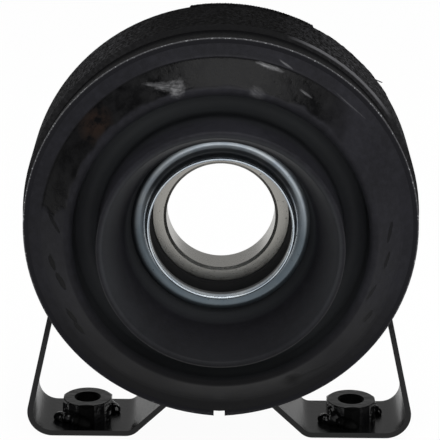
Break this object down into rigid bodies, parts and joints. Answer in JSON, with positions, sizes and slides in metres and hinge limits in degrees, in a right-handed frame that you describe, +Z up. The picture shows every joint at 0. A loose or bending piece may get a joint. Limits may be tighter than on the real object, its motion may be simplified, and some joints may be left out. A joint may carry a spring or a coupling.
{
  "type": "driveshaft centre bearing",
  "caption": "Centre support bearing for a driveshaft: sealed ball bearing in a ribbed rubber funnel, held in a steel ring by a bent strap with bolt feet.",
  "frame": {"origin": "centre of the bearing on the shaft axis", "axes": "+Y along the shaft away from the funnel, +Z up, the feet stand on the side of -Z"},
  "size_m": [0.145, 0.0716, 0.1608],
  "materials": {
    "black_paint": "black paint, rough on the strap and glossy on the feet",
    "cushion_rubber": "satin moulded rubber",
    "zinc_plate": "bright bluish zinc plate",
    "bearing_steel": "ground",
    "ball_steel": "polished",
    "cage_steel": "pressed sheet steel",
    "seal_rubber": "matt"
  },
  "bodies": {
    "housing": {"shell_ring": "black_paint", "mounting_strap": "black_paint", "strap_welds": "black_paint", "left_weld_nut": "black_paint", "right_weld_nut": "black_paint", "nut_welds": "black_paint", "rubber_cushion": "cushion_rubber", "bearing_sleeve": "zinc_plate", "outer_race": "bearing_steel", "front_seal": "seal_rubber", "rear_seal": "seal_rubber"},
    "inner_ring": {"inner_race": "bearing_steel"},
    "cage": {"front_cage_half": "cage_steel", "rear_cage_half": "cage_steel", "cage_rivets": "cage_steel"},
    "ball_01": {"ball_01": "ball_steel"},
    "ball_02": {"ball_02": "ball_steel"},
    "ball_03": {"ball_03": "ball_steel"},
    "ball_04": {"ball_04": "ball_steel"},
    "ball_05": {"ball_05": "ball_steel"},
    "ball_06": {"ball_06": "ball_steel"},
    "ball_07": {"ball_07": "ball_steel"},
    "ball_08": {"ball_08": "ball_steel"},
    "ball_09": {"ball_09": "ball_steel"},
    "ball_10": {"ball_10": "ball_steel"},
    "ball_11": {"ball_11": "ball_steel"},
    "ball_12": {"ball_12": "ball_steel"}
  },
  "joints": [
    {"name": "inner_spin", "type": "hinge", "parent": "housing", "child": "inner_ring", "pos_m": [0, 0, 0], "axis": [0, 1, 0], "continuous": true},
    {"name": "cage_orbit", "type": "hinge", "parent": "housing", "child": "cage", "pos_m": [0, 0, 0], "axis": [0, 1, 0], "continuous": true},
    {"name": "ball_01_roll", "type": "hinge", "parent": "cage", "child": "ball_01", "pos_m": [0.027, 0, 0], "axis": [0, 1, 0], "continuous": true},
    {"name": "ball_02_roll", "type": "hinge", "parent": "cage", "child": "ball_02", "pos_m": [0.02338, 0, 0.0135], "axis": [0, 1, 0], "continuous": true},
    {"name": "ball_03_roll", "type": "hinge", "parent": "cage", "child": "ball_03", "pos_m": [0.0135, 0, 0.02338], "axis": [0, 1, 0], "continuous": true},
    {"name": "ball_04_roll", "type": "hinge", "parent": "cage", "child": "ball_04", "pos_m": [0, 0, 0.027], "axis": [0, 1, 0], "continuous": true},
    {"name": "ball_05_roll", "type": "hinge", "parent": "cage", "child": "ball_05", "pos_m": [-0.0135, 0, 0.02338], "axis": [0, 1, 0], "continuous": true},
    {"name": "ball_06_roll", "type": "hinge", "parent": "cage", "child": "ball_06", "pos_m": [-0.02338, 0, 0.0135], "axis": [0, 1, 0], "continuous": true},
    {"name": "ball_07_roll", "type": "hinge", "parent": "cage", "child": "ball_07", "pos_m": [-0.027, 0, 0], "axis": [0, 1, 0], "continuous": true},
    {"name": "ball_08_roll", "type": "hinge", "parent": "cage", "child": "ball_08", "pos_m": [-0.02338, 0, -0.0135], "axis": [0, 1, 0], "continuous": true},
    {"name": "ball_09_roll", "type": "hinge", "parent": "cage", "child": "ball_09", "pos_m": [-0.0135, 0, -0.02338], "axis": [0, 1, 0], "continuous": true},
    {"name": "ball_10_roll", "type": "hinge", "parent": "cage", "child": "ball_10", "pos_m": [0, 0, -0.027], "axis": [0, 1, 0], "continuous": true},
    {"name": "ball_11_roll", "type": "hinge", "parent": "cage", "child": "ball_11", "pos_m": [0.0135, 0, -0.02338], "axis": [0, 1, 0], "continuous": true},
    {"name": "ball_12_roll", "type": "hinge", "parent": "cage", "child": "ball_12", "pos_m": [0.02338, 0, -0.0135], "axis": [0, 1, 0], "continuous": true}
  ],
  "couplings": [
    {"joint": "cage_orbit", "follows": "inner_spin", "ratio": 0.4265},
    {"joint": "ball_01_roll", "follows": "inner_spin", "ratio": -3.327},
    {"joint": "ball_02_roll", "follows": "inner_spin", "ratio": -3.327},
    {"joint": "ball_03_roll", "follows": "inner_spin", "ratio": -3.327},
    {"joint": "ball_04_roll", "follows": "inner_spin", "ratio": -3.327},
    {"joint": "ball_05_roll", "follows": "inner_spin", "ratio": -3.327},
    {"joint": "ball_06_roll", "follows": "inner_spin", "ratio": -3.327},
    {"joint": "ball_07_roll", "follows": "inner_spin", "ratio": -3.327},
    {"joint": "ball_08_roll", "follows": "inner_spin", "ratio": -3.327},
    {"joint": "ball_09_roll", "follows": "inner_spin", "ratio": -3.327},
    {"joint": "ball_10_roll", "follows": "inner_spin", "ratio": -3.327},
    {"joint": "ball_11_roll", "follows": "inner_spin", "ratio": -3.327},
    {"joint": "ball_12_roll", "follows": "inner_spin", "ratio": -3.327}
  ]
}
